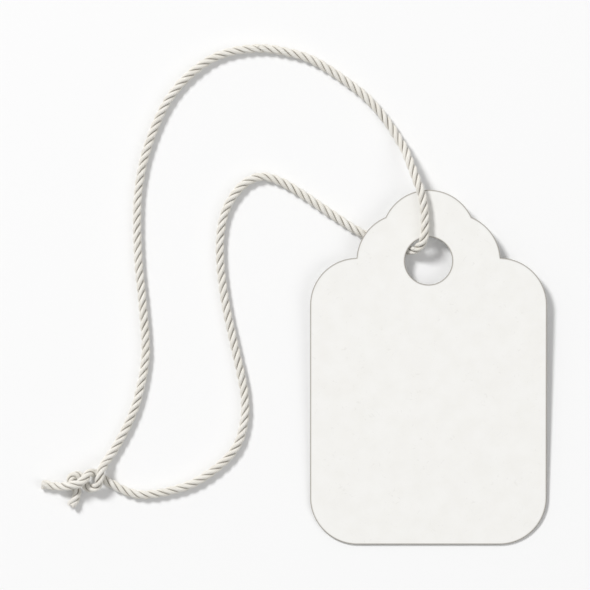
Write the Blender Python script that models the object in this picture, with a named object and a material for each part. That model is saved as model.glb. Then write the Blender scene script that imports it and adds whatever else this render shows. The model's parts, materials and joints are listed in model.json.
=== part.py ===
"""Strung price tag: a die-cut card with a scalloped top, and one length of twisted string.

The tag lies on a flat surface at z = 0, with the card's length along +Y and its front face up.
The string comes up through the card's hole, runs over the top edge, and goes round in a loose
loop. It passes back under the card to the same hole, and its two ends are knotted together.
So the card rests on its lower edge and on the string, and is tilted a little about X.
"""

import math

import bmesh
import bpy
import numpy as np
from mathutils import Vector

MM = 0.001

# The card: 1 1/4 by 1 7/8 inches, with every round on a quarter-inch radius
CARD_WIDTH = 31.75 * MM
CARD_HEIGHT = 47.625 * MM
CARD_THICKNESS = 0.33 * MM
ARC_RADIUS = 6.35 * MM
SHOULDER_HEIGHT = 38.5 * MM  # from the lower edge to the top of each rounded shoulder
SCALLOP_HEIGHT = 38.1 * MM  # from the lower edge to the centre of each side scallop
SCALLOP_OFFSET = 3.3 * MM  # from the middle line to that centre
HOLE_DIAMETER = 6.35 * MM
HOLE_HEIGHT = 38.1 * MM  # from the lower edge to the hole's centre
CARD_TILT = math.radians(2.5)  # how far the string lifts the card's top end
ARC_STEP = math.radians(5)
HOLE_SEGMENTS = 64

# The string
STRING_DIAMETER = 1.2 * MM
STRETCH_GAP = 0.3 * MM  # between the faces of two stretches that follow each other
FREE_STEP = 2.8 * MM  # between points on the stretches that lie in wide curves
HOLE_STEP = 1.0 * MM  # between points where the string climbs through the hole
KNOT_STEP = 0.7 * MM  # between points in the knot
SPAN_SAMPLES = 24  # samples of the smooth curve from one route point to the next

# The card turns up about the string where it leaves the top edge
FLIP_AXIS = Vector((0.0, 24.3, 3.21)) * MM

# The string's route in millimetres, from the end of the long tail to the end of the short one
LONG_TAIL_AND_KNOT = [
    (-51.8, -15.7, 0.65),
    (-50.1, -15.95, 0.75),
    (-49.05, -15.95, 1.4),
    (-48.0, -15.85, 2.02),
    (-46.95, -15.6, 2.05),
    (-46.2, -15.1, 2.05),
    (-45.7, -14.4, 1.65),
    (-45.0, -14.1, 0.95),
    (-44.2, -14.45, 0.62),
    (-43.35, -15.15, 0.62),
]
REAR_LOOP = [
    (-42.3, -15.75, 0.62),
    (-40.6, -16.6, 0.62),
    (-38.7, -17.1, 0.62),
    (-34.7, -16.6, 0.62),
    (-30.7, -15.1, 0.62),
    (-26.0, -11.0, 0.62),
    (-24.7, -7.2, 0.62),
    (-24.7, -3.5, 0.62),
    (-25.9, 2.3, 0.62),
    (-27.2, 8.4, 0.62),
    (-27.9, 13.7, 0.62),
    (-27.9, 17.8, 0.62),
    (-27.2, 21.1, 0.62),
    (-25.8, 23.5, 0.62),
    (-24.2, 25.0, 0.62),
    (-22.1, 25.6, 0.62),
    (-19.8, 24.9, 0.62),
]
THROUGH_THE_HOLE = [
    (-17.2, 23.4, 0.62),
    (-13.2, 20.7, 0.62),
    (-9.4, 18.25, 0.62),
    (-6.3, 16.8, 0.62),
    (-4.3, 16.05, 0.62),
    (-3.25, 15.7, 0.68),
    (-2.4, 15.65, 1.05),
    (-1.6, 15.9, 1.75),
    (-0.95, 16.5, 2.5),
    (-0.6, 17.35, 3.0),
    (-0.5, 18.55, 3.1),
    (-0.55, 20.7, 3.15),
    (-0.9, 23.0, 3.24),
    (-1.45, 24.6, 3.2),
    (-2.3, 26.9, 2.5),
    (-3.2, 29.2, 1.45),
]
FRONT_LOOP = [
    (-4.2, 30.9, 0.85),
    (-5.2, 32.5, 0.64),
    (-7.9, 35.8, 0.62),
    (-11.2, 38.5, 0.62),
    (-15.7, 41.3, 0.62),
    (-19.0, 42.3, 0.62),
    (-22.6, 42.8, 0.62),
    (-27.7, 42.0, 0.62),
    (-31.3, 39.9, 0.62),
    (-34.9, 35.9, 0.62),
    (-37.8, 29.2, 0.62),
    (-38.9, 23.8, 0.62),
    (-39.1, 19.5, 0.62),
    (-38.9, 14.1, 0.62),
    (-38.4, 9.0, 0.62),
    (-38.0, 4.3, 0.62),
    (-38.0, 1.0, 0.62),
    (-39.1, -4.5, 0.62),
    (-40.5, -8.0, 0.62),
    (-42.2, -11.1, 0.62),
]
KNOT_AND_SHORT_TAIL = [
    (-42.95, -12.2, 0.75),
    (-43.6, -13.2, 1.4),
    (-43.95, -14.15, 2.0),
    (-44.1, -15.0, 2.0),
    (-44.45, -15.95, 1.5),
    (-45.3, -16.25, 0.95),
    (-46.0, -15.9, 0.65),
    (-46.45, -15.15, 0.62),
    (-46.72, -14.68, 0.62),
    (-47.28, -14.45, 0.62),
    (-47.8, -14.68, 0.62),
    (-48.0, -15.15, 0.62),
    (-47.85, -15.7, 0.62),
    (-47.36, -16.25, 0.62),
    (-47.12, -16.85, 0.62),
    (-47.35, -17.6, 0.62),
    (-47.9, -18.6, 0.62),
]
ROUTE = LONG_TAIL_AND_KNOT + REAR_LOOP + THROUGH_THE_HOLE + FRONT_LOOP + KNOT_AND_SHORT_TAIL

# Route points where one stretch ends and the next begins
KNOT_END = len(LONG_TAIL_AND_KNOT)
UNDER_SHOULDER = KNOT_END + len(REAR_LOOP)  # the string goes under the card's left shoulder
BEFORE_HOLE = UNDER_SHOULDER + 2
ON_TOP_EDGE = UNDER_SHOULDER + 12
PAST_TOP_EDGE = UNDER_SHOULDER + 15
LAST_POINT = len(ROUTE) - 1
KNOT_START = LAST_POINT - len(KNOT_AND_SHORT_TAIL)

# Each stretch of the string, with the route point that it ends at and the step of its points
STRETCHES = [
    ("string_long_end", KNOT_END, KNOT_STEP),
    ("string_rear_loop", UNDER_SHOULDER, FREE_STEP),
    ("string_rear_bend", BEFORE_HOLE, FREE_STEP),
    ("string_bight", ON_TOP_EDGE, HOLE_STEP),
    ("string_front_bend", PAST_TOP_EDGE, HOLE_STEP),
    ("string_front_loop", KNOT_START, FREE_STEP),
    ("string_short_end", LAST_POINT, KNOT_STEP),
]
TURNS_WITH_CARD = "string_bight"


def clear_scene():
    for item in list(bpy.data.objects):
        bpy.data.objects.remove(item, do_unlink=True)


def make_material(name, colour, roughness):
    material = bpy.data.materials.new(name)
    material.use_nodes = True
    shader = material.node_tree.nodes["Principled BSDF"]
    shader.inputs["Base Color"].default_value = (*colour, 1.0)
    shader.inputs["Roughness"].default_value = roughness
    shader.inputs["Metallic"].default_value = 0.0
    return material


def link(item, parent=None):
    bpy.context.scene.collection.objects.link(item)
    item.parent = parent
    return item


def make_axis(name, location, parent=None):
    axis = link(bpy.data.objects.new(name, None), parent)
    axis.location = location
    axis.empty_display_size = ARC_RADIUS
    return axis


def hole_centre():
    """The middle of the hole, on the card's mid-plane, with the card tilted and centred on Y."""
    back_edge_y = (CARD_THICKNESS * math.sin(CARD_TILT) - CARD_HEIGHT * math.cos(CARD_TILT)) / 2
    up_the_card = Vector((0.0, math.cos(CARD_TILT), math.sin(CARD_TILT)))
    out_of_front = Vector((0.0, -math.sin(CARD_TILT), math.cos(CARD_TILT)))
    lower_edge = Vector((0.0, back_edge_y, 0.0))
    return lower_edge + HOLE_HEIGHT * up_the_card + CARD_THICKNESS / 2 * out_of_front


def upper_crossing(right, left):
    """Where two circles of the arcs' radius cross, on the outer side of the card's top."""
    middle = (right + left) / 2
    across = left - right
    reach = math.sqrt(ARC_RADIUS**2 - (across.length / 2) ** 2)
    return middle + reach * Vector((across.y, -across.x)).normalized()


def arc(centre, start, end):
    """Points anticlockwise round a centre, from one angle to another, with both ends."""
    steps = math.ceil((end - start) / ARC_STEP)
    angles = [start + (end - start) * i / steps for i in range(steps + 1)]
    return [centre + ARC_RADIUS * Vector((math.cos(a), math.sin(a))) for a in angles]


def angle_at(centre, point):
    return math.atan2(point.y - centre.y, point.x - centre.x)


def card_outline():
    """The card's edge, anticlockwise from the right end of its lower edge, which is at y = 0."""
    corner = Vector((CARD_WIDTH / 2 - ARC_RADIUS, ARC_RADIUS))
    shoulder = Vector((corner.x, SHOULDER_HEIGHT - ARC_RADIUS))
    scallop = Vector((SCALLOP_OFFSET, SCALLOP_HEIGHT))
    crown = Vector((0.0, CARD_HEIGHT - ARC_RADIUS))
    low_notch = upper_crossing(shoulder, scallop)
    high_notch = upper_crossing(scallop, crown)
    right = arc(corner, -math.pi / 2, 0.0)
    right += arc(shoulder, 0.0, angle_at(shoulder, low_notch))
    right += arc(scallop, angle_at(scallop, low_notch), angle_at(scallop, high_notch))[1:]
    right += arc(crown, angle_at(crown, high_notch), math.pi / 2)[1:]
    left = [Vector((-point.x, point.y)) for point in reversed(right[:-1])]
    return right + left


def make_card(parent, material):
    """A flat sheet cut to the outline, given the board's thickness, with the hole punched."""
    shape = bmesh.new()
    corners = [shape.verts.new((p.x, p.y - HOLE_HEIGHT, 0.0)) for p in card_outline()]
    shape.faces.new(corners)
    for height in (ARC_RADIUS, SHOULDER_HEIGHT - ARC_RADIUS):
        bmesh.ops.bisect_plane(
            shape,
            geom=shape.verts[:] + shape.edges[:] + shape.faces[:],
            plane_co=(0.0, height - HOLE_HEIGHT, 0.0),
            plane_no=(0.0, 1.0, 0.0),
        )
    mesh = bpy.data.meshes.new("card")
    shape.to_mesh(mesh)
    shape.free()
    mesh.materials.append(material)
    card = link(bpy.data.objects.new("card", mesh), parent)

    board = card.modifiers.new("board", "SOLIDIFY")
    board.thickness = CARD_THICKNESS
    board.offset = 0.0

    punch_shape = bmesh.new()
    bmesh.ops.create_cone(
        punch_shape,
        cap_ends=True,
        segments=HOLE_SEGMENTS,
        radius1=HOLE_DIAMETER / 2,
        radius2=HOLE_DIAMETER / 2,
        depth=4 * CARD_THICKNESS,
    )
    punch_mesh = bpy.data.meshes.new("hole_punch")
    punch_shape.to_mesh(punch_mesh)
    punch_shape.free()
    punch = link(bpy.data.objects.new("hole_punch", punch_mesh), parent)
    punch.hide_render = True
    punch.display_type = "WIRE"

    hole = card.modifiers.new("hole", "BOOLEAN")
    hole.operation = "DIFFERENCE"
    hole.object = punch
    return card


def smooth_route():
    """Samples of a smooth curve through every route point, SPAN_SAMPLES to a span.

    Each span is timed by the square root of its chord, so the curve doesn't overshoot where the
    spacing of the points changes.
    """
    points = np.array(ROUTE) * MM
    points = np.vstack([2 * points[0] - points[1], points, 2 * points[-1] - points[-2]])
    samples = []
    for p0, p1, p2, p3 in zip(points, points[1:], points[2:], points[3:]):
        t1 = np.linalg.norm(p1 - p0) ** 0.5
        t2 = t1 + np.linalg.norm(p2 - p1) ** 0.5
        t3 = t2 + np.linalg.norm(p3 - p2) ** 0.5
        for t in np.linspace(t1, t2, SPAN_SAMPLES, endpoint=False):
            a1 = p0 + (p1 - p0) * t / t1
            a2 = p1 + (p2 - p1) * (t - t1) / (t2 - t1)
            a3 = p2 + (p3 - p2) * (t - t2) / (t3 - t2)
            b1 = a1 + (a2 - a1) * t / t2
            b2 = a2 + (a3 - a2) * (t - t1) / (t3 - t1)
            samples.append(b1 + (b2 - b1) * (t - t1) / (t2 - t1))
    samples.append(points[-2])
    return np.array(samples)


def distances_along(samples):
    return np.append(0.0, np.cumsum(np.linalg.norm(np.diff(samples, axis=0), axis=1)))


def stretch_points(samples, first, last, step):
    """Even points from one route point to another, half a gap short where a stretch follows."""
    part = samples[first * SPAN_SAMPLES : last * SPAN_SAMPLES + 1]
    marks = distances_along(part)
    start = 0.0 if first == 0 else STRETCH_GAP / 2
    end = marks[-1] if last == LAST_POINT else marks[-1] - STRETCH_GAP / 2
    wanted = np.linspace(start, end, round((end - start) / step) + 1)
    return np.column_stack([np.interp(wanted, marks, part[:, axis]) for axis in range(3)])


def make_tube(name, points, material, parent=None):
    """A round tube with closed ends along points in world space."""
    curve = bpy.data.curves.new(name, "CURVE")
    curve.dimensions = "3D"
    curve.bevel_depth = STRING_DIAMETER / 2
    curve.bevel_resolution = 2
    curve.use_fill_caps = True
    curve.materials.append(material)
    spline = curve.splines.new("POLY")
    spline.points.add(len(points) - 1)
    offset = parent.location if parent else Vector()
    for place, point in zip(spline.points, points):
        place.co = (*(Vector(point) - offset), 1.0)
    spline.use_smooth = True
    return link(bpy.data.objects.new(name, curve), parent)


def main():
    clear_scene()
    board = make_material("tag_board", (0.90, 0.89, 0.86), 0.75)
    cotton = make_material("cotton_string", (0.86, 0.84, 0.79), 0.9)

    flip = make_axis("flip_axis", FLIP_AXIS)
    swing = make_axis("swing_axis", hole_centre() - FLIP_AXIS, flip)
    swing.rotation_euler.x = CARD_TILT
    make_card(swing, board)

    samples = smooth_route()
    first = 0
    for name, last, step in STRETCHES:
        parent = flip if name == TURNS_WITH_CARD else None
        make_tube(name, stretch_points(samples, first, last, step), cotton, parent)
        first = last
    print(f"string length {distances_along(samples)[-1] / MM:.1f} mm")
    print("hole centre", [round(value / MM, 3) for value in hole_centre()])


main()
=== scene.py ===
# %% [markdown]
# # A strung price tag
#
# A small merchandise tag: a white die-cut card with a scalloped top, and a loop of twisted cotton
# string that passes through its hole and is knotted at its ends. This lesson dresses the plain
# model of the tag, cell by cell, until it looks like board and cotton.
#
# The plain model is loaded first, as a fixed frame. Everything made below is in metres, in that same
# frame: the tag lies on z = 0, the card's length runs along +Y, and its front face looks up.

import json
import math

import bmesh
import bpy
import numpy as np
from mathutils import Matrix, Vector


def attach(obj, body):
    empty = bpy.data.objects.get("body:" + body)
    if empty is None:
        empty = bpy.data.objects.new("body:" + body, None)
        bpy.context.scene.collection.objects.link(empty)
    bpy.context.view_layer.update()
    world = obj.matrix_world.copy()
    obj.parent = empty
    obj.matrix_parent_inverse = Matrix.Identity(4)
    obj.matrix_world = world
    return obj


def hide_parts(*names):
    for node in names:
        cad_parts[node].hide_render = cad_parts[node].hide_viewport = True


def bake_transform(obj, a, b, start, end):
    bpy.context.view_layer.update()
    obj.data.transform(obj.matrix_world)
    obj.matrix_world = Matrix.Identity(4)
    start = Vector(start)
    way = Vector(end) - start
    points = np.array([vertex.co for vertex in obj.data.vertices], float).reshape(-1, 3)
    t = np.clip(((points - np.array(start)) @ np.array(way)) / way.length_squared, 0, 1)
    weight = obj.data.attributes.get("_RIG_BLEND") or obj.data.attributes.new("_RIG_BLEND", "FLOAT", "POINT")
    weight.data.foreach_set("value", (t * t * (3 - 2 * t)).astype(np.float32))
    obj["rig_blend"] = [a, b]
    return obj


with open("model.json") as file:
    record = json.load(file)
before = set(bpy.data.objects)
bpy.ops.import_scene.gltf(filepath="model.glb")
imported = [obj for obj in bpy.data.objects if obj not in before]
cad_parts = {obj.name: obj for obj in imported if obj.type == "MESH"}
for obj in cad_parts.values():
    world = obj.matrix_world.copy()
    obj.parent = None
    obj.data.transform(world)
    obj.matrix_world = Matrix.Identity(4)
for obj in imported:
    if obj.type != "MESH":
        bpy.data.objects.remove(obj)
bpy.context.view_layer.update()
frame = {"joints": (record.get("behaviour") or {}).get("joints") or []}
MM = 0.001

# %% [markdown]
# ## Camera
#
# The picture to match is a flat drawing, so the camera looks straight down. An orthographic camera
# would do for this one view. A very long lens far above the tag gives nearly the same picture, and it
# can still be carried round the object for other views, so that is used here.

# %% Camera straight above the tag
PICTURE_WIDTH = 79.24 * MM  # how much of the table the square picture spans
PICTURE_CENTRE = Vector((-17.9, 9.7, 0.0)) * MM
CAMERA_HEIGHT = 0.9
SENSOR = 36.0

camera_data = bpy.data.cameras.new("camera")
camera_data.sensor_width = SENSOR
camera_data.lens = SENSOR * CAMERA_HEIGHT / PICTURE_WIDTH
camera_data.clip_start = 0.01
camera = bpy.data.objects.new("camera", camera_data)
camera.location = PICTURE_CENTRE + Vector((0.0, 0.0, CAMERA_HEIGHT))
bpy.context.scene.collection.objects.link(camera)
bpy.context.scene.camera = camera
bpy.context.scene.view_settings.view_transform = "Standard"
print(f"camera: {camera_data.lens:.0f} mm lens at {CAMERA_HEIGHT} m")

# %% [markdown]
# ## Short calls for nodes
#
# The sky, the finishes and the twist of the string are all made with nodes. A node tree that is written
# in a script takes many small steps: make a node, set its options, then link or fill each input. A few
# short functions take those steps here, so that the trees further down can be read almost like
# formulas. A node can have several sockets of one name, of which only those in use are shown in the
# editor, so the functions look at those alone.

# %% Helpers for any node tree
def plug(tree, source, socket):
    """Links a socket to another one, or sets its value."""
    if isinstance(source, bpy.types.NodeSocket):
        tree.links.new(source, socket)
    else:
        socket.default_value = source


def shown(sockets):
    """The sockets of a node that are in use, by name, and the first one where a name repeats."""
    return {socket.name: socket for socket in reversed(sockets.values()) if socket.enabled}


def add_node(tree, kind, settings=None, **inputs):
    """The outputs of a new node, after its settings are made and its inputs linked or filled."""
    made = tree.nodes.new(kind)
    for name, value in (settings or {}).items():
        setattr(made, name, value)
    sockets = shown(made.inputs)
    for name, value in inputs.items():
        plug(tree, value, sockets[name.replace("_", " ")])
    return shown(made.outputs)


def calculate(tree, operation, *values, kind="ShaderNodeMath"):
    """The result of a Math node on numbers or sockets, in the order of its inputs."""
    made = tree.nodes.new(kind)
    made.operation = operation
    sockets = [socket for socket in made.inputs if socket.enabled]
    for value, socket in zip(values, sockets):
        plug(tree, value, socket)
    return next(socket for socket in made.outputs if socket.enabled)


print("helpers:", [helper.__name__ for helper in (plug, shown, add_node, calculate)])

# %% [markdown]
# ## Table and light
#
# White paper on a white table is told apart by its shadow and by a slightly warmer tone. One broad
# lamp at the upper left throws a soft shadow to the lower right, a weaker one fills it, and a pale
# sky does the rest. Together they give about the light at which a colour renders as it is written.

# %% Pale table, sky and two lamps
TABLE_SIZE = 4.0
TABLE_COLOUR = (0.90, 0.90, 0.90, 1.0)
WHITE = (1.0, 1.0, 1.0, 1.0)
SKY_STRENGTH = 0.42
BACKDROP_STRENGTH = 0.94
KEY_PLACE, KEY_SIZE, KEY_WATTS = Vector((-1.26, 1.38, 1.86)), 0.66, 52.0
FILL_PLACE, FILL_SIZE, FILL_WATTS = Vector((1.65, -0.6, 1.8)), 1.8, 11.0


def add_lamp(name, place, size, watts):
    lamp = bpy.data.lights.new(name, "AREA")
    lamp.shape = "DISK"
    lamp.size = size
    lamp.energy = watts
    holder = bpy.data.objects.new(name, lamp)
    holder.location = place
    holder.rotation_euler = (-place).to_track_quat("-Z", "Y").to_euler()
    holder.visible_camera = False
    bpy.context.scene.collection.objects.link(holder)


def new_material(name, **values):
    """A material and its shader, with some of the shader's sockets set by name."""
    material = bpy.data.materials.new(name)
    material.use_nodes = True
    shader = material.node_tree.nodes["Principled BSDF"]
    for socket, value in values.items():
        shader.inputs[socket.replace("_", " ")].default_value = value
    return material, shader


def add_table():
    shape = bmesh.new()
    bmesh.ops.create_grid(shape, x_segments=1, y_segments=1, size=TABLE_SIZE / 2)
    mesh = bpy.data.meshes.new("table")
    shape.to_mesh(mesh)
    shape.free()
    table = bpy.data.objects.new("table", mesh)
    bpy.context.scene.collection.objects.link(table)
    finish, _ = new_material("pale_table", Base_Color=TABLE_COLOUR, Roughness=0.9, Specular_IOR_Level=0.1)
    mesh.materials.append(finish)


def add_sky():
    """A soft sky for the light, and a plain pale backdrop where the camera looks past the table."""
    world = bpy.data.worlds.new("sky")
    world.use_nodes = True
    bpy.context.scene.world = world
    tree = world.node_tree
    sky = tree.nodes["Background"]
    plug(tree, WHITE, sky.inputs["Color"])
    plug(tree, SKY_STRENGTH, sky.inputs["Strength"])
    backdrop = add_node(tree, "ShaderNodeBackground", Color=WHITE, Strength=BACKDROP_STRENGTH)
    path = add_node(tree, "ShaderNodeLightPath")
    seen = calculate(tree, "MAXIMUM", path["Is Camera Ray"], path["Is Glossy Ray"])
    choose = tree.nodes.new("ShaderNodeMixShader")
    for source, socket in zip((seen, sky.outputs[0], backdrop["Background"]), choose.inputs):
        plug(tree, source, socket)
    plug(tree, choose.outputs[0], tree.nodes["World Output"].inputs["Surface"])


add_table()
add_sky()
add_lamp("key_lamp", KEY_PLACE, KEY_SIZE, KEY_WATTS)
add_lamp("fill_lamp", FILL_PLACE, FILL_SIZE, FILL_WATTS)
print("stage: table, sky and two lamps")

# %% [markdown]
# ## What board and cotton share
#
# Paper board and cotton string are the same stuff, plant fibre, laid flat in one and spun in the
# other. Both are uneven at two scales: a cloudiness a few millimetres wide, where the fibres are
# thicker or thinner, and the fine hair of the fibres themselves. Both also hold a few flecks of husk
# or darker fibre. A node group makes all three once, and each material gives it the sizes and the
# coordinates that suit it.

# %% Vector, Map Range and Noise nodes
def vector(tree, operation, *values):
    """The result of a Vector Math node."""
    return calculate(tree, operation, *values, kind="ShaderNodeVectorMath")


def remap(tree, source, low, high, to_low=0.0, to_high=1.0, smooth=False):
    """A value moved from one span to another by a Map Range node."""
    return add_node(
        tree,
        "ShaderNodeMapRange",
        {"interpolation_type": "SMOOTHSTEP" if smooth else "LINEAR"},
        Value=source,
        From_Min=low,
        From_Max=high,
        To_Min=to_low,
        To_Max=to_high,
    )["Result"]


def noise(tree, place, scale, **inputs):
    return add_node(tree, "ShaderNodeTexNoise", Vector=place, Scale=scale, **inputs)


print("helpers:", [helper.__name__ for helper in (vector, remap, noise)])

# %% A node group for plant fibre
HAIR_WARP = 0.6 * MM  # how far one noise pushes the next, so that the hairs wander
FLECKS_PER_HAIR = 0.22
NOISE_SPAN = (0.3, 0.7)  # most of what a noise gives, from its hollows to its peaks
CLOUD_SPAN = (0.35, 0.7)  # of the cloud noise, from clear to cloudy
FLECK_SPAN = (0.74, 0.84)  # of the fleck noise: only its highest peaks become flecks


def make_fibre_group():
    tree = bpy.data.node_groups.new("plant_fibre", "ShaderNodeTree")
    tree.interface.new_socket(name="Vector", in_out="INPUT", socket_type="NodeSocketVector")
    for name in ("Clouds per Metre", "Hairs per Metre"):
        tree.interface.new_socket(name=name, in_out="INPUT", socket_type="NodeSocketFloat")
    for name in ("Cloud", "Hair", "Fleck"):
        tree.interface.new_socket(name=name, in_out="OUTPUT", socket_type="NodeSocketFloat")
    given = tree.nodes.new("NodeGroupInput").outputs
    result = tree.nodes.new("NodeGroupOutput").inputs
    place, hairs = given["Vector"], given["Hairs per Metre"]
    cloud = noise(tree, place, given["Clouds per Metre"], Detail=3.0, Roughness=0.55)
    warp = noise(tree, place, hairs, Detail=2.0)
    pushed = vector(tree, "MULTIPLY_ADD", warp["Color"], (HAIR_WARP, HAIR_WARP, HAIR_WARP), place)
    hair = noise(tree, pushed, hairs, Detail=4.0, Roughness=0.7, Distortion=1.2)
    flecks = calculate(tree, "MULTIPLY", hairs, FLECKS_PER_HAIR)
    fleck = noise(tree, place, flecks, Detail=0.0, Distortion=2.5)
    plug(tree, cloud["Fac"], result["Cloud"])
    plug(tree, hair["Fac"], result["Hair"])
    plug(tree, remap(tree, fleck["Fac"], *FLECK_SPAN), result["Fleck"])
    return tree


plant_fibre = make_fibre_group()
print("shader group:", plant_fibre.name, [item.name for item in plant_fibre.interface.items_tree])

# %% [markdown]
# ## The finish of the board
#
# Tag board is uncoated: matt, nearly white, a little warm, faintly cloudy when it catches the light.
# The last quarter millimetre of the face is painted a shade darker, as painted shade along the
# rounded edge, and the cut wall shows the layers of the grey core. The mesh carries two attributes
# for this: rim, which is 1 on the cut wall and 0 half a millimetre inside, and flat, a place on the
# card before it is tilted. Read through flat, a noise that is squeezed along the thickness comes out
# as thin layers on the wall.

# %% Tag board material
BOARD_COLOUR = (0.87, 0.862, 0.838, 1.0)
BOARD_CLOUD_COLOUR = (0.848, 0.838, 0.808, 1.0)
# the dark layers of the core and the flecks, and the painted shade along the face's edge
BOARD_FLECK_CORE_AND_EDGE_SHADE_COLOUR = (0.33, 0.307, 0.27, 1.0)
BOARD_LAYER_COLOUR = (0.60, 0.575, 0.52, 1.0)
LAYERS_PER_METRE = Vector((900.0, 900.0, 16000.0))  # along the two sides and through the board
LAYER_SPAN = (0.45, 0.65)  # of the layer noise, from a dark layer to a pale one
WALL_SPAN = (0.995, 1.0)  # of rim, where the cut wall begins
EDGE_SHADE_SPAN = (0.52, 0.98)  # of rim, from the plain face to the full painted edge shade
BOARD_FLECK_SHADE = 0.08
BOARD_ROUGHNESS = (0.72, 0.9)  # in the hollows between the hairs and on top of them
CLOUD_HEIGHT = 1.5  # of the clouds in the bump, as a multiple of the hairs' height


def colour_mix(tree, factor, first, second):
    """Two colours mixed by a factor. Each of the three can be a value or a socket."""
    mixed = add_node(tree, "ShaderNodeMix", {"data_type": "RGBA"}, Factor=factor, A=first, B=second)
    return mixed["Result"]


def attribute(tree, name, output="Fac"):
    return add_node(tree, "ShaderNodeAttribute", {"attribute_name": name})[output]


def fibre_masks(tree, place, clouds, hairs):
    masks = add_node(
        tree,
        "ShaderNodeGroup",
        {"node_tree": plant_fibre},
        Vector=place,
        Clouds_per_Metre=clouds,
        Hairs_per_Metre=hairs,
    )
    return masks["Cloud"], masks["Hair"], masks["Fleck"]


def dress(tree, shader, colour, height, strength, depth):
    """Gives a shader its colour and a bump."""
    bump = add_node(tree, "ShaderNodeBump", Height=height, Strength=strength, Distance=depth)
    plug(tree, colour, shader.inputs["Base Color"])
    plug(tree, bump["Normal"], shader.inputs["Normal"])


def make_board_material():
    material, shader = new_material("tag_board_finish", Specular_IOR_Level=0.25)
    tree = material.node_tree
    place = attribute(tree, "flat", "Vector")
    rim = attribute(tree, "rim")
    cloud, hair, fleck = fibre_masks(tree, place, clouds=380.0, hairs=5200.0)
    squeezed = add_node(tree, "ShaderNodeMapping", Vector=place, Scale=LAYERS_PER_METRE)["Vector"]
    pale_layer = remap(tree, noise(tree, squeezed, 1.0, Detail=3.0)["Fac"], *LAYER_SPAN)
    on_the_wall = remap(tree, rim, *WALL_SPAN)
    layered = calculate(tree, "MULTIPLY", pale_layer, on_the_wall)
    wall_and_edge_shade = colour_mix(tree, layered, BOARD_FLECK_CORE_AND_EDGE_SHADE_COLOUR, BOARD_LAYER_COLOUR)
    body = colour_mix(tree, remap(tree, cloud, *CLOUD_SPAN), BOARD_COLOUR, BOARD_CLOUD_COLOUR)
    shade = calculate(tree, "MULTIPLY", fleck, BOARD_FLECK_SHADE)
    specked = colour_mix(tree, shade, body, BOARD_FLECK_CORE_AND_EDGE_SHADE_COLOUR)
    # painted shade: the outer band of the face is darkened towards the edge
    edge_shade = remap(tree, rim, *EDGE_SHADE_SPAN, smooth=True)
    colour = colour_mix(tree, edge_shade, specked, wall_and_edge_shade)
    height = calculate(tree, "ADD", hair, calculate(tree, "MULTIPLY", cloud, CLOUD_HEIGHT))
    plug(tree, remap(tree, hair, *NOISE_SPAN, *BOARD_ROUGHNESS), shader.inputs["Roughness"])
    dress(tree, shader, colour, height, strength=0.5, depth=0.013 * MM)
    return material


board_finish = make_board_material()
print("material:", board_finish.name)

# %% [markdown]
# ## The card
#
# The card's outline is all quarter-inch arcs: two lower corners, two shoulders, two side scallops
# and the crown, with sharp notches where the arcs of the top meet. It could be drawn as a curve and
# extruded. A mesh is made here instead, because two rings of faces are wanted along every edge: they
# carry the rim attribute, and they let a bevel roll the cut edge over without long thin faces.

# %% The card's outline
CARD_WIDTH = 31.75 * MM
CARD_HEIGHT = 47.625 * MM
CARD_THICKNESS = 0.33 * MM
ARC_RADIUS = 6.35 * MM
SHOULDER_HEIGHT = 38.5 * MM
SCALLOP_CENTRE = Vector((3.3, 38.1)) * MM
HOLE_HEIGHT = 38.1 * MM
HOLE_RADIUS = 3.175 * MM
ARC_STEP = math.radians(3)


def arc(centre, radius, start, end):
    """Points round a centre from one angle to another, with both ends."""
    steps = math.ceil(abs(end - start) / ARC_STEP)
    angles = [start + (end - start) * i / steps for i in range(steps + 1)]
    return [centre + radius * Vector((math.cos(a), math.sin(a))) for a in angles]


def outer_crossing(right, left):
    """Where two circles of the arcs' radius cross, on the outer side of the card's top."""
    across = left - right
    reach = math.sqrt(ARC_RADIUS**2 - (across.length / 2) ** 2)
    return (right + left) / 2 + reach * Vector((across.y, -across.x)).normalized()


def angle_at(centre, point):
    return math.atan2(point.y - centre.y, point.x - centre.x)


def card_outline():
    """The right half from the lower edge to the crown's top, then its mirror image."""
    corner = Vector((CARD_WIDTH / 2 - ARC_RADIUS, ARC_RADIUS))
    shoulder = Vector((corner.x, SHOULDER_HEIGHT - ARC_RADIUS))
    crown = Vector((0.0, CARD_HEIGHT - ARC_RADIUS))
    low_notch = outer_crossing(shoulder, SCALLOP_CENTRE)
    high_notch = outer_crossing(SCALLOP_CENTRE, crown)
    spans = (
        (corner, -math.pi / 2, 0.0),
        (shoulder, 0.0, angle_at(shoulder, low_notch)),
        (SCALLOP_CENTRE, angle_at(SCALLOP_CENTRE, low_notch), angle_at(SCALLOP_CENTRE, high_notch)),
        (crown, angle_at(crown, high_notch), math.pi / 2),
    )
    right = []
    for centre, start, end in spans:
        points = arc(centre, ARC_RADIUS, start, end)
        meets = right and (points[0] - right[-1]).length < 1e-6
        right += points[1:] if meets else points
    return right + [Vector((-p.x, p.y)) for p in reversed(right[:-1])]


outline = card_outline()
print(f"card outline: {len(outline)} points")

# %% [markdown]
# The sheet is filled between the outline and the hole, given its two rings by insetting, and then
# thickened and bevelled by modifiers. Last it is tilted into place: the string lifts its top end.

# %% Cut, thicken and place the card
RIM_RINGS = (0.12 * MM, 0.40 * MM)
RIM_WIDTH = sum(RIM_RINGS)
EDGE_ROUND = 0.06 * MM


def distance_to_loops(point, loops):
    """How far a flat point is from the nearest side of any closed loop."""
    best = math.inf
    for loop in loops:
        start = np.array(loop)
        step = np.roll(start, -1, axis=0) - start
        away = np.array(point) - start
        share = np.clip((away * step).sum(1) / (step * step).sum(1), 0, 1)
        best = min(best, np.linalg.norm(away - share[:, None] * step, axis=1).min())
    return best


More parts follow.
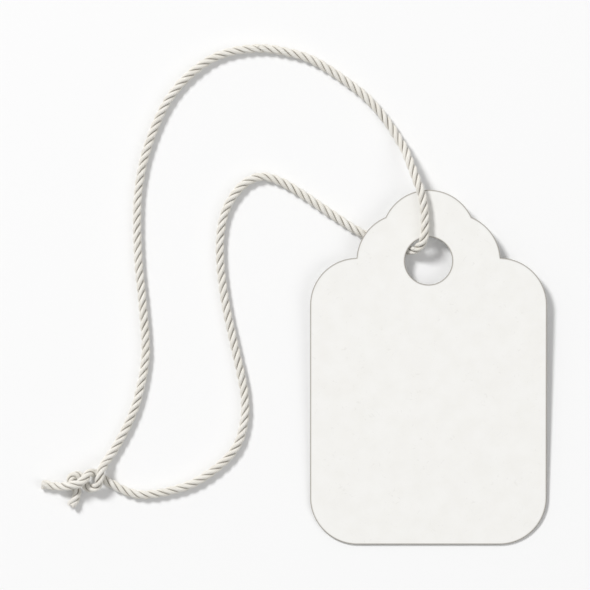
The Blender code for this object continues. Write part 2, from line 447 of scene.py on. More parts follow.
def flat_sheet():
    """The card's flat middle surface about its hole, with the rim attribute on its points."""
    hole = arc(Vector((0.0, HOLE_HEIGHT)), HOLE_RADIUS, 0.0, 2 * math.pi)[:-1]
    loops = [[(p.x, p.y - HOLE_HEIGHT) for p in loop] for loop in (outline, hole)]
    shape = bmesh.new()
    for loop in loops:
        corners = [shape.verts.new((x, y, 0.0)) for x, y in loop]
        for one, next_one in zip(corners, corners[1:] + corners[:1]):
            shape.edges.new((one, next_one))
    bmesh.ops.triangle_fill(shape, use_beauty=True, edges=shape.edges[:], normal=(0, 0, 1))
    inner = shape.faces[:]
    for ring in RIM_RINGS:
        bmesh.ops.inset_region(
            shape, faces=inner, thickness=ring, use_boundary=True, use_even_offset=True
        )
    layer = shape.verts.layers.float.new("rim")
    for vertex in shape.verts:
        vertex[layer] = max(0.0, 1.0 - distance_to_loops(vertex.co.xy, loops) / RIM_WIDTH)
    bmesh.ops.recalc_face_normals(shape, faces=shape.faces[:])
    mesh = bpy.data.meshes.new("card_sheet")
    shape.to_mesh(mesh)
    shape.free()
    return mesh


def bake(item):
    """The object as a plain mesh, with its modifiers applied and taken off."""
    graph = bpy.context.evaluated_depsgraph_get()
    mesh = bpy.data.meshes.new_from_object(
        item.evaluated_get(graph), preserve_all_data_layers=True, depsgraph=graph
    )
    item.modifiers.clear()
    return mesh


def add_piece(name, mesh):
    piece = bpy.data.objects.new(name, mesh)
    bpy.context.scene.collection.objects.link(piece)
    return piece


def card_place():
    """Turns and moves the flat card, whose hole is at the origin, to where the frame has it."""
    swing = next(j for j in frame["joints"] if j["name"] == "tag_swing")
    normal = Vector(swing["axis"])
    tilt = math.atan2(-normal.y, normal.z)
    return Matrix.Translation(swing["pos_m"]) @ Matrix.Rotation(tilt, 4, "X")


def make_card():
    card = add_piece("tag_card", flat_sheet())
    board = card.modifiers.new("board", "SOLIDIFY")
    board.thickness = CARD_THICKNESS
    board.offset = 0.0
    edge = card.modifiers.new("edge", "BEVEL")
    edge.width = EDGE_ROUND
    edge.segments = 3
    edge.limit_method = "ANGLE"
    edge.angle_limit = math.radians(60)
    card.data = bake(card)
    flat = card.data.attributes.new("flat", "FLOAT_VECTOR", "POINT")
    for vertex, value in zip(card.data.vertices, flat.data):
        value.vector = vertex.co
    card.data.transform(card_place())
    card.data.materials.clear()
    card.data.materials.append(board_finish)
    card.data.shade_smooth()
    card.data.set_sharp_from_angle(angle=math.radians(40))
    return card


card = make_card()
print(f"card: {len(card.data.polygons)} faces, box", [round(v / MM, 1) for v in card.dimensions])

# %% [markdown]
# ## The string's route
#
# One length of string: from the end of the long tail through the knot, round the inner side of the
# loop, under the card, up through the hole, over the card's top edge, round the outer side of the
# loop, and through the knot again to the short tail. These are the plain model's own route points.

# %% Route points
LONG_TAIL_AND_KNOT = [
    (-0.0518, -0.0157, 0.00065),
    (-0.0501, -0.01595, 0.00075),
    (-0.04905, -0.01595, 0.0014),
    (-0.0480, -0.01585, 0.00202),
    (-0.04695, -0.0156, 0.00205),
    (-0.0462, -0.0151, 0.00205),
    (-0.0457, -0.0144, 0.00165),
    (-0.0450, -0.0141, 0.00095),
    (-0.0442, -0.01445, 0.00062),
    (-0.04335, -0.01515, 0.00062),
]
REAR_LOOP = [
    (-0.0423, -0.01575, 0.00062),
    (-0.0406, -0.0166, 0.00062),
    (-0.0387, -0.0171, 0.00062),
    (-0.0347, -0.0166, 0.00062),
    (-0.0307, -0.0151, 0.00062),
    (-0.0260, -0.0110, 0.00062),
    (-0.0247, -0.0072, 0.00062),
    (-0.0247, -0.0035, 0.00062),
    (-0.0259, 0.0023, 0.00062),
    (-0.0272, 0.0084, 0.00062),
    (-0.0279, 0.0137, 0.00062),
    (-0.0279, 0.0178, 0.00062),
    (-0.0272, 0.0211, 0.00062),
    (-0.0258, 0.0235, 0.00062),
    (-0.0242, 0.0250, 0.00062),
    (-0.0221, 0.0256, 0.00062),
    (-0.0198, 0.0249, 0.00062),
]
THROUGH_THE_HOLE = [
    (-0.0172, 0.0234, 0.00062),
    (-0.0132, 0.0207, 0.00062),
    (-0.0094, 0.01825, 0.00062),
    (-0.0063, 0.0168, 0.00062),
    (-0.0043, 0.01605, 0.00062),
    (-0.00325, 0.0157, 0.00068),
    (-0.0024, 0.01565, 0.00105),
    (-0.0016, 0.0159, 0.00175),
    (-0.00095, 0.0165, 0.0025),
    (-0.0006, 0.01735, 0.0030),
    (-0.0005, 0.01855, 0.0031),
    (-0.00055, 0.0207, 0.00315),
    (-0.0009, 0.0230, 0.00324),
    (-0.00145, 0.0246, 0.0032),
    (-0.0023, 0.0269, 0.0025),
    (-0.0032, 0.0292, 0.00145),
]
FRONT_LOOP = [
    (-0.0042, 0.0309, 0.00085),
    (-0.0052, 0.0325, 0.00064),
    (-0.0079, 0.0358, 0.00062),
    (-0.0112, 0.0385, 0.00062),
    (-0.0157, 0.0413, 0.00062),
    (-0.0190, 0.0423, 0.00062),
    (-0.0226, 0.0428, 0.00062),
    (-0.0277, 0.0420, 0.00062),
    (-0.0313, 0.0399, 0.00062),
    (-0.0349, 0.0359, 0.00062),
    (-0.0378, 0.0292, 0.00062),
    (-0.0389, 0.0238, 0.00062),
    (-0.0391, 0.0195, 0.00062),
    (-0.0389, 0.0141, 0.00062),
    (-0.0384, 0.0090, 0.00062),
    (-0.0380, 0.0043, 0.00062),
    (-0.0380, 0.0010, 0.00062),
    (-0.0391, -0.0045, 0.00062),
    (-0.0405, -0.0080, 0.00062),
    (-0.0422, -0.0111, 0.00062),
]
KNOT_AND_SHORT_TAIL = [
    (-0.04295, -0.0122, 0.00075),
    (-0.0436, -0.0132, 0.0014),
    (-0.04395, -0.01415, 0.0020),
    (-0.0441, -0.0150, 0.0020),
    (-0.04445, -0.01595, 0.0015),
    (-0.0453, -0.01625, 0.00095),
    (-0.0460, -0.0159, 0.00065),
    (-0.04645, -0.01515, 0.00062),
    (-0.04672, -0.01468, 0.00062),
    (-0.04728, -0.01445, 0.00062),
    (-0.04780, -0.01468, 0.00062),
    (-0.04800, -0.01515, 0.00062),
    (-0.04785, -0.01570, 0.00062),
    (-0.04736, -0.01625, 0.00062),
    (-0.04712, -0.01685, 0.00062),
    (-0.04735, -0.01760, 0.00062),
    (-0.04790, -0.01860, 0.00062),
]
ROUTE = LONG_TAIL_AND_KNOT + REAR_LOOP + THROUGH_THE_HOLE + FRONT_LOOP + KNOT_AND_SHORT_TAIL
HOLE_POINT = ROUTE.index((-0.0016, 0.0159, 0.00175))  # where the string climbs through the hole
LOOP_TOP_POINT = ROUTE.index((-0.0226, 0.0428, 0.00062))  # the far end of the loop
print(f"route: {len(ROUTE)} points")

# %% [markdown]
# A smooth curve runs through every one of them. Each of its spans is timed by the square root of its
# chord, because a plain spline overshoots where the spacing changes, and that would show in the knot.
# The curve is then divided into even steps, which the twist of the string needs.

# %% The smooth line through the route points
SPAN_SAMPLES = 40
LINE_STEP = 0.18 * MM


def smooth_samples():
    """Samples of the smooth curve through the route, SPAN_SAMPLES to a span."""
    points = np.array(ROUTE)
    points = np.vstack([2 * points[0] - points[1], points, 2 * points[-1] - points[-2]])
    samples = []
    for p0, p1, p2, p3 in zip(points, points[1:], points[2:], points[3:]):
        t1 = np.linalg.norm(p1 - p0) ** 0.5
        t2 = t1 + np.linalg.norm(p2 - p1) ** 0.5
        t3 = t2 + np.linalg.norm(p3 - p2) ** 0.5
        for t in np.linspace(t1, t2, SPAN_SAMPLES, endpoint=False):
            a1 = p0 + (p1 - p0) * t / t1
            a2 = p1 + (p2 - p1) * (t - t1) / (t2 - t1)
            a3 = p2 + (p3 - p2) * (t - t2) / (t3 - t2)
            b1 = a1 + (a2 - a1) * t / t2
            b2 = a2 + (a3 - a2) * (t - t1) / (t3 - t1)
            samples.append(b1 + (b2 - b1) * (t - t1) / (t2 - t1))
    return np.array(samples + [points[-2]])


samples = smooth_samples()
marks = np.append(0.0, np.cumsum(np.linalg.norm(np.diff(samples, axis=0), axis=1)))
string_length = marks[-1]
line_marks = np.linspace(0.0, string_length, round(string_length / LINE_STEP) + 1)
line = np.column_stack([np.interp(line_marks, marks, samples[:, axis]) for axis in range(3)])
at_hole = marks[HOLE_POINT * SPAN_SAMPLES]
at_loop_top = marks[LOOP_TOP_POINT * SPAN_SAMPLES]
print(f"string: {string_length / MM:.1f} mm long, {len(line)} points")

# %% [markdown]
# ## The finish of the cotton
#
# Cotton string is matt and off-white. The grooves between its plies and the finer furrows between the
# yarns of a ply are painted darker, as painted shade, and their crowns are left paler. Its fibres run
# along the yarns, so the pattern has to follow the twist and not the room. Attributes made with the
# mesh carry all this: groove and furrow are 1 at their deepest, and thread is a place on the ply as if
# it were untwisted, squeezed along its length so that the same noise comes out as long streaks. The
# loose hairs, marked by an attribute called loose, are painted the palest, as painted light for the
# light that shines through them.

# %% Cotton string material
COTTON_COLOUR = (0.86, 0.84, 0.79, 1.0)
COTTON_CLOUD_COLOUR = (0.80, 0.77, 0.70, 1.0)
# the dark tone of the hairs and flecks, and the painted shade of the grooves and furrows
COTTON_DARK_TONE_AND_SHADE_COLOUR = (0.26, 0.225, 0.175, 1.0)
# painted light: the loose hairs are painted paler, for the light that shines through them
LOOSE_HAIR_PAINTED_LIGHT_COLOUR = (0.93, 0.92, 0.89, 1.0)
HAIR_SPAN, HAIR_SHADE = (0.5, 0.8), 0.22  # where a mask starts and ends, and how dark it gets
# painted shade: how dark the furrows between yarns and the grooves between plies are painted
FURROW_SPAN, FURROW_PAINTED_SHADE = (0.45, 1.0), 0.4
GROOVE_SPAN, GROOVE_PAINTED_SHADE = (0.25, 1.0), 1.0
COTTON_FLECK_SHADE = 0.2


def make_cotton_material():
    material, shader = new_material(
        "cotton_string_finish",
        Roughness=0.95,
        Specular_IOR_Level=0.1,
        Sheen_Weight=0.25,
        Sheen_Roughness=0.6,
    )
    tree = material.node_tree
    place = attribute(tree, "thread", "Vector")
    cloud, hair, fleck = fibre_masks(tree, place, clouds=900.0, hairs=14000.0)
    tones_and_shades = (
        remap(tree, hair, *HAIR_SPAN, 0.0, HAIR_SHADE),
        calculate(tree, "MULTIPLY", fleck, COTTON_FLECK_SHADE),
        # painted shade: the furrows and grooves are darkened where shade would fall
        remap(tree, attribute(tree, "furrow"), *FURROW_SPAN, 0.0, FURROW_PAINTED_SHADE, smooth=True),
        remap(tree, attribute(tree, "groove"), *GROOVE_SPAN, 0.0, GROOVE_PAINTED_SHADE, smooth=True),
    )
    colour = colour_mix(tree, remap(tree, cloud, *CLOUD_SPAN), COTTON_COLOUR, COTTON_CLOUD_COLOUR)
    for shade in tones_and_shades:
        colour = colour_mix(tree, shade, colour, COTTON_DARK_TONE_AND_SHADE_COLOUR)
    # painted light: the loose hairs take the pale colour, for the light that shines through them
    colour = colour_mix(tree, attribute(tree, "loose"), colour, LOOSE_HAIR_PAINTED_LIGHT_COLOUR)
    dress(tree, shader, colour, hair, strength=0.6, depth=0.02 * MM)
    return material


cotton_finish = make_cotton_material()
print("material:", cotton_finish.name)

# %% [markdown]
# ## Twisting the string
#
# The string is three soft plies laid together with a right-hand twist, so the grooves slant like the
# middle stroke of a Z. Each ply is itself a bundle of finer yarns that turn the other way, which is
# what keeps a string from unwinding, and so the yarns lie nearly along the string. A round tube with
# stripes painted on it would look flat from the side, so a Geometry Nodes tree winds the real thing.
# The sizes below become the named inputs of that tree.

# %% Sizes of the string
YARNS = 7
TWIST = {
    "Plies": 3,
    "Ply Radius": 0.298 * MM,
    "Ply Offset": 0.32 * MM,
    "Lay Length": 3.9 * MM,  # along the string, for a ply to go once round
    "Yarns": YARNS,  # in each ply
    "Ply Sides": 5 * YARNS,
    "Yarn Depth": 0.13,  # of a furrow between two yarns, as a share of the ply's radius
    "Yarn Lay": 2.9 * MM,  # along a ply, for a yarn to go once round
    "Thread Squeeze": 0.14,  # along the string, in the attribute called thread
    "Open End": 1.2 * MM,  # how far from its cut ends the string starts to open
    "End Spread": 0.18,  # how much further apart the plies are at a cut end
    "Slub": 0.05,  # how much thicker or thinner than its mean a ply gets
    "Slubs per Metre": 260.0,
    "Groove Deep": 0.34 * MM,  # from the string's middle: as deep in a groove as shows
    "Groove Crown": 0.56 * MM,  # from the string's middle: on the crown of a ply
    "Finish": cotton_finish,
}
print(f"string: {TWIST['Plies']} plies of {YARNS} yarns, {TWIST['Lay Length'] / MM:.1f} mm lay")

# %% [markdown]
# A tree takes a mesh in and gives one out, and has an input of the right kind for each size. It ends
# the same way each time: copies are made real, and the finish is set. The result is then baked into a
# plain mesh that needs no modifier any more. These functions serve for every tree in this lesson.

# %% Start, end and run a Geometry Nodes tree
def socket_kind(value):
    if isinstance(value, bpy.types.Material):
        return "NodeSocketMaterial"
    return "NodeSocketInt" if isinstance(value, int) else "NodeSocketFloat"


def new_tree(name, values):
    """A tree with one geometry in and out and an input for each named value, and its inputs."""
    tree = bpy.data.node_groups.new(name, "GeometryNodeTree")
    for way in ("INPUT", "OUTPUT"):
        tree.interface.new_socket(name="Geometry", in_out=way, socket_type="NodeSocketGeometry")
    for socket, value in values.items():
        tree.interface.new_socket(name=socket, in_out="INPUT", socket_type=socket_kind(value))
    return tree, tree.nodes.new("NodeGroupInput").outputs


def end_tree(tree, mesh, finish):
    mesh = add_node(tree, "GeometryNodeRealizeInstances", Geometry=mesh)["Geometry"]
    mesh = add_node(tree, "GeometryNodeSetMaterial", Geometry=mesh, Material=finish)["Geometry"]
    plug(tree, mesh, tree.nodes.new("NodeGroupOutput").inputs["Geometry"])


def run_tree(item, tree, values):
    """Adds the tree as a modifier, sets its inputs by their identifiers and bakes the result."""
    modifier = item.modifiers.new(tree.name, "NODES")
    modifier.node_group = tree
    for socket in tree.interface.items_tree:
        if socket.name in values:
            modifier[socket.identifier] = values[socket.name]
    return bake(item)


def store(tree, geometry, name, kind, value):
    """Keeps a value on every point under a name."""
    settings = {"data_type": kind, "domain": "POINT"}
    kept = add_node(
        tree, "GeometryNodeStoreNamedAttribute", settings, Geometry=geometry, Name=name, Value=value
    )
    return kept["Geometry"]


def named(tree, name, kind="FLOAT"):
    kept = add_node(tree, "GeometryNodeInputNamedAttribute", {"data_type": kind}, Name=name)
    return kept["Attribute"]


def position(tree):
    return add_node(tree, "GeometryNodeInputPosition")["Position"]


for size in ("Plies", "Lay Length", "Finish"):
    print(size, "becomes an input of the kind", socket_kind(TWIST[size]))

# %% [markdown]
# The twist starts with the plain route. Each of its points is given three facts that it keeps when it
# is moved: how far along the string it is, how near a cut end, and where the string's middle is. Then
# the route is copied once for each ply, and each copy is pushed off the line in a direction that turns
# as it goes along. Near the cut ends it is pushed a little further, because the plies open there.

# %% Lay the plies round the line
def line_with_facts(tree, given):
    curve = add_node(tree, "GeometryNodeMeshToCurve", Mesh=given["Geometry"])["Curve"]
    travelled = add_node(tree, "GeometryNodeSplineParameter")["Length"]
    whole = add_node(tree, "GeometryNodeSplineLength")["Length"]
    to_end = calculate(tree, "MINIMUM", travelled, calculate(tree, "SUBTRACT", whole, travelled))
    near_end = remap(tree, to_end, 0.0, given["Open End"], 1.0, 0.0)
    curve = store(tree, curve, "along", "FLOAT", travelled)
    curve = store(tree, curve, "cut", "FLOAT", near_end)
    return store(tree, curve, "middle", "FLOAT_VECTOR", position(tree))


def laid_plies(tree, given, line_curve):
    """Copies of the line that wind round it, tilted so that a section turns back as it goes."""
    copies = add_node(
        tree,
        "GeometryNodeDuplicateElements",
        {"domain": "SPLINE"},
        Geometry=line_curve,
        Amount=given["Plies"],
    )
    ply = copies["Duplicate Index"]
    turns_along = calculate(tree, "DIVIDE", named(tree, "along"), given["Lay Length"])
    turn_of_ply = calculate(tree, "DIVIDE", ply, given["Plies"])
    angle = calculate(tree, "MULTIPLY", calculate(tree, "ADD", turns_along, turn_of_ply), 2 * math.pi)
    normal = add_node(tree, "GeometryNodeInputNormal")["Normal"]
    tangent = add_node(tree, "GeometryNodeInputTangent")["Tangent"]
    across = vector(tree, "CROSS_PRODUCT", tangent, normal)
    one_way = vector(tree, "SCALE", normal, calculate(tree, "COSINE", angle))
    other_way = vector(tree, "SCALE", across, calculate(tree, "SINE", angle))
    spread = calculate(tree, "MULTIPLY_ADD", named(tree, "cut"), given["End Spread"], 1.0)
    offset = calculate(tree, "MULTIPLY", given["Ply Offset"], spread)
    outward = vector(tree, "SCALE", vector(tree, "ADD", one_way, other_way), offset)
    plies = add_node(tree, "GeometryNodeSetPosition", Geometry=copies["Geometry"], Offset=outward)
    plies = store(tree, plies["Geometry"], "ply", "FLOAT", ply)
    travelled = add_node(tree, "GeometryNodeSplineParameter")["Length"]
    yarn_turns = calculate(tree, "DIVIDE", travelled, given["Yarn Lay"])
    turn_back = calculate(tree, "MULTIPLY", yarn_turns, -2 * math.pi)
    return add_node(tree, "GeometryNodeSetCurveTilt", Curve=plies, Tilt=turn_back)["Curve"]


print("lays", TWIST["Plies"], "plies", TWIST["Ply Offset"] / MM, "mm off the line")

# %% [markdown]
# A lobed section, one lobe for each yarn, is swept along each ply. It swells and shrinks a little, as
# spun cotton does. Its points know their place round the ply and how deep in a furrow they are, and
# the swept mesh also stores the other facts that the finish reads.

# %% Sweep a section along the plies
def lobed_ring(tree, given):
    """The section of a ply, with a furrow between each two yarns."""
    ring = add_node(
        tree,
        "GeometryNodeCurvePrimitiveCircle",
        Resolution=given["Ply Sides"],
        Radius=given["Ply Radius"],
    )["Curve"]
    place = position(tree)
    flat = add_node(tree, "ShaderNodeSeparateXYZ", Vector=place)
    angle = calculate(tree, "ARCTAN2", flat["Y"], flat["X"])
    half_waves = calculate(tree, "MULTIPLY", angle, calculate(tree, "DIVIDE", given["Yarns"], 2.0))
    crest = calculate(tree, "ABSOLUTE", calculate(tree, "SINE", half_waves))
    ring = store(tree, ring, "around", "FLOAT_VECTOR", place)
    ring = store(tree, ring, "furrow", "FLOAT", calculate(tree, "SUBTRACT", 1.0, crest))
    sunk = calculate(tree, "MULTIPLY", named(tree, "furrow"), given["Yarn Depth"])
    inward = vector(tree, "SCALE", place, calculate(tree, "MULTIPLY", sunk, -1.0))
    return add_node(tree, "GeometryNodeSetPosition", Geometry=ring, Offset=inward)["Geometry"]


def swept_plies(tree, given, plies):
    spot = add_node(tree, "ShaderNodeCombineXYZ", X=named(tree, "along"), Y=named(tree, "ply"))
    uneven = noise(tree, spot["Vector"], given["Slubs per Metre"], Detail=1.0)["Fac"]
    thinnest = calculate(tree, "SUBTRACT", 1.0, given["Slub"])
    thickest = calculate(tree, "ADD", 1.0, given["Slub"])
    return add_node(
        tree,
        "GeometryNodeCurveToMesh",
        Curve=plies,
        Profile_Curve=lobed_ring(tree, given),
        Scale=remap(tree, uneven, *NOISE_SPAN, thinnest, thickest),
        Fill_Caps=True,
    )["Mesh"]


def with_finish_facts(tree, given, mesh):
    """Stores a place on the ply as if it were untwisted, and how deep in a groove a point is."""
    squeezed = calculate(tree, "MULTIPLY", named(tree, "along"), given["Thread Squeeze"])
    apart = calculate(tree, "MULTIPLY", named(tree, "ply"), given["Lay Length"])
    lengthways = add_node(tree, "ShaderNodeCombineXYZ", Z=calculate(tree, "ADD", squeezed, apart))
    thread = vector(tree, "ADD", named(tree, "around", "FLOAT_VECTOR"), lengthways["Vector"])
    mesh = store(tree, mesh, "thread", "FLOAT_VECTOR", thread)
    reach = vector(tree, "DISTANCE", position(tree), named(tree, "middle", "FLOAT_VECTOR"))
    deepest = calculate(tree, "SUBTRACT", 1.0, named(tree, "cut"))
    depth = remap(tree, reach, given["Groove Deep"], given["Groove Crown"], deepest, 0.0)
    return store(tree, mesh, "groove", "FLOAT", depth)


def make_twist_tree():
    tree, given = new_tree("lay_plies", TWIST)
    plies = laid_plies(tree, given, line_with_facts(tree, given))
    end_tree(tree, with_finish_facts(tree, given, swept_plies(tree, given, plies)), given["Finish"])
    return tree


twist = make_twist_tree()
print("geometry tree:", twist.name, "with", len(twist.nodes), "nodes")

# %% [markdown]
# The tree is now run on the route, which goes in as a plain mesh of points and edges.

# %% Wind the whole string and bake it
def line_mesh(points):
    mesh = bpy.data.meshes.new("string_line")
    steps = [(i, i + 1) for i in range(len(points) - 1)]
    mesh.from_pydata([tuple(p) for p in points], steps, [])
    return mesh


host = add_piece("string_line", line_mesh(line))
wound = run_tree(host, twist, TWIST)
bpy.data.objects.remove(host, do_unlink=True)
print(f"wound string: {len(wound.polygons)} faces,", [a.name for a in wound.attributes][:8])

# %% [markdown]
# ## Three stretches
#
# When the card is turned up, the string bends in two places: over the card's top edge, and where it
# comes out from under the card's left side. A piece can bend in one place only, so the string is cut
# into three: the rear one from the long tail to the hole, the top one from the hole over the card's
# edge to the far end of the loop, and the front one from there through the knot to the short tail.
# They come from one winding, so the plies run on across each cut, and each cut end is closed.

# %% Cut the wound string into its three stretches
def cut_out(name, start, end):
    """The faces of the wound string from one distance along it to another, as a closed piece."""
    shape = bmesh.new()
    shape.from_mesh(wound)
    along = shape.verts.layers.float["along"]
    outside = []
    for face in shape.faces:
        place = sum(v[along] for v in face.verts) / len(face.verts)
        if not start <= place <= end:
            outside.append(face)
    bmesh.ops.delete(shape, geom=outside, context="FACES")
    open_edges = [edge for edge in shape.edges if edge.is_boundary]
    bmesh.ops.holes_fill(shape, edges=open_edges, sides=0)
    bmesh.ops.recalc_face_normals(shape, faces=shape.faces[:])
    mesh = bpy.data.meshes.new(name)
    shape.to_mesh(mesh)
    shape.free()
    mesh.materials.clear()
    mesh.materials.append(cotton_finish)
    mesh.shade_smooth()
    return add_piece(name, mesh)


rear_string = cut_out("string_rear", 0.0, at_hole)
top_string = cut_out("string_top", at_hole, at_loop_top)
front_string = cut_out("string_front", at_loop_top, string_length)
for piece in (rear_string, top_string, front_string):
    print(piece.name, len(piece.data.polygons), "faces")

# %% [markdown]
# ## Loose fibres
#
# Cotton is spun from short hairs, and many of their ends stand out of the plies. They blur the edge
# of the string and are what makes it read as cotton and not as wire. A second tree scatters points on
# a stretch, sets a thin curved hair on each with a random lean and length, and joins them to it. The
# two cut ends get many more of them, because scissors leave a small tuft there.

# %% Geometry Nodes tree that scatters loose fibres
FIBRES = {
    "Density": 5.5 / MM**2,
    "Length": 0.5 * MM,
    "Shortest": 0.35,  # as a share of Length
    "Longest": 1.2,
    "Radius": 0.007 * MM,
    "Lowest Facing": -0.1,  # of a root's surface: 1 is straight up, -1 straight down
    "Lowest Root": 0.55 * MM,  # no root is lower, so that no hair reaches through the table
    "End Tuft": 9.0,  # what a cut end adds to the density, as a multiple of it
    "Seed": 7,
    "Finish": cotton_finish,
}
LEAN = 0.5  # in radians: how far a hair may lean to either side of its root's own direction


def scattered_roots(tree, given):
    """Random points on the upper side of a stretch, denser at the cut ends."""
    normal = add_node(tree, "GeometryNodeInputNormal")["Normal"]
    facing = add_node(tree, "ShaderNodeSeparateXYZ", Vector=normal)["Z"]
    height = add_node(tree, "ShaderNodeSeparateXYZ", Vector=position(tree))["Z"]
    upper = calculate(
        tree,
        "MULTIPLY",
        calculate(tree, "GREATER_THAN", facing, given["Lowest Facing"]),
        calculate(tree, "GREATER_THAN", height, given["Lowest Root"]),
    )
    tufted = calculate(tree, "MULTIPLY_ADD", named(tree, "cut"), given["End Tuft"], 1.0)
    return add_node(
        tree,
        "GeometryNodeDistributePointsOnFaces",
        {"distribute_method": "RANDOM"},
        Mesh=given["Geometry"],
        Selection=upper,
        Density=calculate(tree, "MULTIPLY", given["Density"], tufted),
        Seed=given["Seed"],
    )


def curved_hair(tree, given):
    """A thin hair of length 1, which rises from its root and leans over."""
    bend = add_node(
        tree,
        "GeometryNodeCurveQuadraticBezier",
        Resolution=4,
        Start=(0.0, 0.0, -0.08),
        Middle=(0.2, 0.0, 0.3),
        End=(0.85, 0.15, 0.2),
    )["Curve"]
    thin = calculate(tree, "DIVIDE", given["Radius"], given["Length"])
    section = add_node(tree, "GeometryNodeCurvePrimitiveCircle", Resolution=3, Radius=thin)["Curve"]
    hair = add_node(tree, "GeometryNodeCurveToMesh", Curve=bend, Profile_Curve=section, Fill_Caps=True)
    return hair["Mesh"]


def random_value(tree, kind, low, high, seed):
    settings = {"data_type": kind}
    return add_node(tree, "FunctionNodeRandomValue", settings, Min=low, Max=high, Seed=seed)["Value"]


def make_fibre_tree():
    tree, given = new_tree("loose_fibres", FIBRES)
    roots = scattered_roots(tree, given)
    least, most = (-LEAN, -LEAN, 0.0), (LEAN, LEAN, 2 * math.pi)
    lean = random_value(tree, "FLOAT_VECTOR", least, most, given["Seed"])
    turned = add_node(
        tree,
        "FunctionNodeRotateRotation",
        {"rotation_space": "LOCAL"},
        Rotation=roots["Rotation"],
        Rotate_By=lean,
    )["Rotation"]
    size = random_value(tree, "FLOAT", given["Shortest"], given["Longest"], given["Seed"])
    hairs = add_node(
        tree,
        "GeometryNodeInstanceOnPoints",
        Points=store(tree, roots["Points"], "loose", "FLOAT", 1.0),
        Instance=curved_hair(tree, given),
        Rotation=turned,
        Scale=calculate(tree, "MULTIPLY", size, given["Length"]),
    )["Instances"]
    joined = tree.nodes.new("GeometryNodeJoinGeometry")
    for source in (hairs, given["Geometry"]):
        plug(tree, source, joined.inputs["Geometry"])
    end_tree(tree, joined.outputs["Geometry"], given["Finish"])
    return tree


loose_fibres = make_fibre_tree()
print("geometry tree:", loose_fibres.name, "with", len(loose_fibres.nodes), "nodes")

# %% [markdown]
# Each stretch gets fibres of its own, from a seed of its own, so no pattern repeats from one to the
# next. The underside gets none, because the string lies on the table there.

# %% Set the fibres on each stretch
for number, piece in enumerate((rear_string, top_string, front_string)):
    piece.data = run_tree(piece, loose_fibres, FIBRES | {"Seed": FIBRES["Seed"] + number})
    piece.data.shade_smooth()
    print(piece.name, len(piece.data.polygons), "faces with its fibres")

# %% [markdown]
# ## A flat map of the string
#
# Another program can't read these nodes. When the tag is exported, its colours are painted into
# pictures instead, and each piece then needs a flat map that says which part of the picture covers
# which face. Blender can lay one out by itself, but it would break the winding plies and the hairs
# into thousands of scraps with no room for a pattern. The string knows better: each ply unrolls into
# one long strip, which is laid in the square row under row. The caps get spots of their own in the
# last row, and all the hairs share one small patch, because they are all of one colour.

# %% Unroll each stretch into rows of strips
ROW_EDGE = 0.06  # left free above and below a strip, as a share of its row
MAP_EDGE = 0.01
CAP_SPACING = 0.08
HAIR_PATCH = Vector((0.8, 0.016))  # where it starts in the last row, and its size


def point_values(mesh, name, width=1):
    """An attribute of the mesh's points as an array, one row for each corner of its faces."""
    values = np.empty(len(mesh.vertices) * width, np.float32)
    mesh.attributes[name].data.foreach_get("value" if width == 1 else "vector", values)
    at_corners = np.empty(len(mesh.loops), np.int32)
    mesh.loops.foreach_get("vertex_index", at_corners)
    return values.reshape(-1, width)[at_corners].squeeze()


def turns_round_ply(around, first, face):
    """How far round its ply each corner is, in turns, with no jump inside a face."""
    heading = np.add.reduceat(around, first)
    face_turn = (np.arctan2(heading[:, 1], heading[:, 0]) / (2 * math.pi))[face]
    turn = np.arctan2(around[:, 1], around[:, 0]) / (2 * math.pi) - face_turn
    return face_turn + turn - np.round(turn) + 0.5


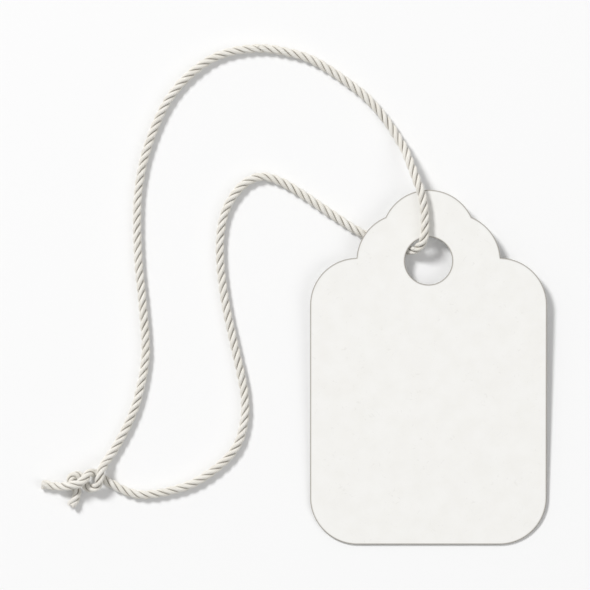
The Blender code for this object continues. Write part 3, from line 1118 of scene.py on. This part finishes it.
def lay_out_map(piece, start, end):
    """Places every corner of a stretch on its map: the plies first, then the caps and the hairs."""
    mesh = piece.data
    sides = np.array([face.loop_total for face in mesh.polygons])
    first = np.append(0, np.cumsum(sides)[:-1])  # of each face's corners
    face = np.repeat(np.arange(len(sides)), sides)  # that each corner belongs to
    around = point_values(mesh, "around", 3)

    place = point_values(mesh, "along") - start + point_values(mesh, "ply") * (end - start)
    strip = TWIST["Plies"] * (end - start)
    row_length = math.sqrt(strip * 2 * math.pi * TWIST["Ply Radius"])
    row = np.floor(np.add.reduceat(place, first) / sides / row_length)[face]
    rows = math.ceil(strip / row_length) + 1
    across = MAP_EDGE + (1 - 2 * MAP_EDGE) * (place / row_length - row)
    up = (row + ROW_EDGE + (1 - 2 * ROW_EDGE) * turns_round_ply(around, first, face)) / rows

    caps = sides > 4
    cap = caps[face]
    spot = (np.cumsum(caps) - 0.5)[face] * CAP_SPACING
    cap_scale = CAP_SPACING / 3 / TWIST["Ply Radius"]
    across[cap] = spot[cap] + around[cap, 0] * cap_scale
    up[cap] = 1 - CAP_SPACING / 2 + around[cap, 1] * cap_scale

    hair = point_values(mesh, "loose") > 0.5
    number = (np.arange(len(face)) - first[face])[hair]  # of a corner in its face
    across[hair] = HAIR_PATCH.x + HAIR_PATCH.y * np.isin(number, (1, 2))
    up[hair] = 1 - CAP_SPACING / 2 + HAIR_PATCH.y * (number > 1)

    layer = mesh.uv_layers.new(name="OFBake")
    layer.uv.foreach_set("vector", np.column_stack([across, up]).astype(np.float32).ravel())
    print(f"{piece.name}: {rows - 1} rows of {row_length / MM:.0f} mm, {caps.sum()} caps")


lay_out_map(rear_string, 0.0, at_hole)
lay_out_map(top_string, at_hole, at_loop_top)
lay_out_map(front_string, at_loop_top, string_length)

# %% [markdown]
# ## Joints and names
#
# The card rides on its own body. The loop, knot and tails lie still, and the stretches by the card
# bend between the lying loop and the bight in the hole, which turns up with the card. The rear one
# bends along X, where only its stretch beside the card reaches, and the top one bends along Y.

# %% Tie each piece to what it moves with
REAR_BEND = (-23.5 * MM, -6.5 * MM)
TOP_BEND = (30.0 * MM, 21.8 * MM)

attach(card, "card")
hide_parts("card")

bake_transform(rear_string, "string_loop", "string_bight", start=(REAR_BEND[0], 0, 0), end=(REAR_BEND[1], 0, 0))
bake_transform(top_string, "string_loop", "string_bight", start=(0, TOP_BEND[0], 0), end=(0, TOP_BEND[1], 0))
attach(front_string, "string_loop")

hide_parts("string_long_end", "string_rear_loop", "string_rear_bend")
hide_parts("string_bight", "string_front_bend")
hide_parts("string_front_loop", "string_short_end")


def declare_string(piece, start, end, leaves):
    """Prints the length of a piece of string; the line that it follows is cut out and turned, but not used."""
    inside = (line_marks >= start) & (line_marks <= end)
    path = line[inside]
    if leaves == "end":
        path = path[::-1]
    print(f"{piece.name}: {(end - start) / MM:.1f} mm")


declare_string(rear_string, 0.0, at_hole, "end")
declare_string(top_string, at_hole, at_loop_top, "start")
declare_string(front_string, at_loop_top, string_length, "start")
